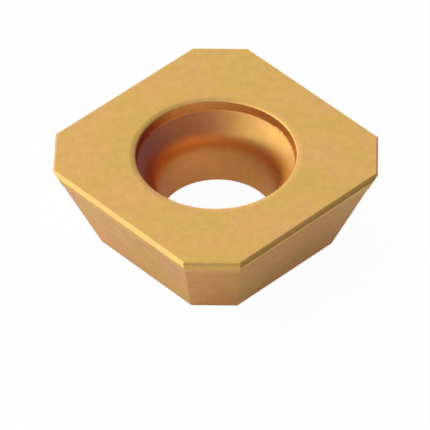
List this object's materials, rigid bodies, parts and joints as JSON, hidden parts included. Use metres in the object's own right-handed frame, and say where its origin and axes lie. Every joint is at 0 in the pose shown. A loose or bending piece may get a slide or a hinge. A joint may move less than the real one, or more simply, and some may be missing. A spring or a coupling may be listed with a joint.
{
  "type": "carbide insert",
  "caption": "Square tungsten carbide milling insert with cut corners, flanks that slope in towards the seat face, and a recessed screw hole, coated gold.",
  "frame": {"origin": "centre of the flat seat face, on the axis of the screw hole", "axes": "+Z along the screw hole from the seat face to the rake face; +X and +Y square to two neighbouring sides, so the wiper facets lie at 45 degrees to them"},
  "size_m": [0.0126, 0.0126, 0.0048],
  "materials": {
    "coated_carbide": "satin gold titanium nitride coating on sintered tungsten carbide, margin under the cutting edge ground"
  },
  "bodies": {
    "root": {"insert": "coated_carbide"}
  },
  "joints": []
}
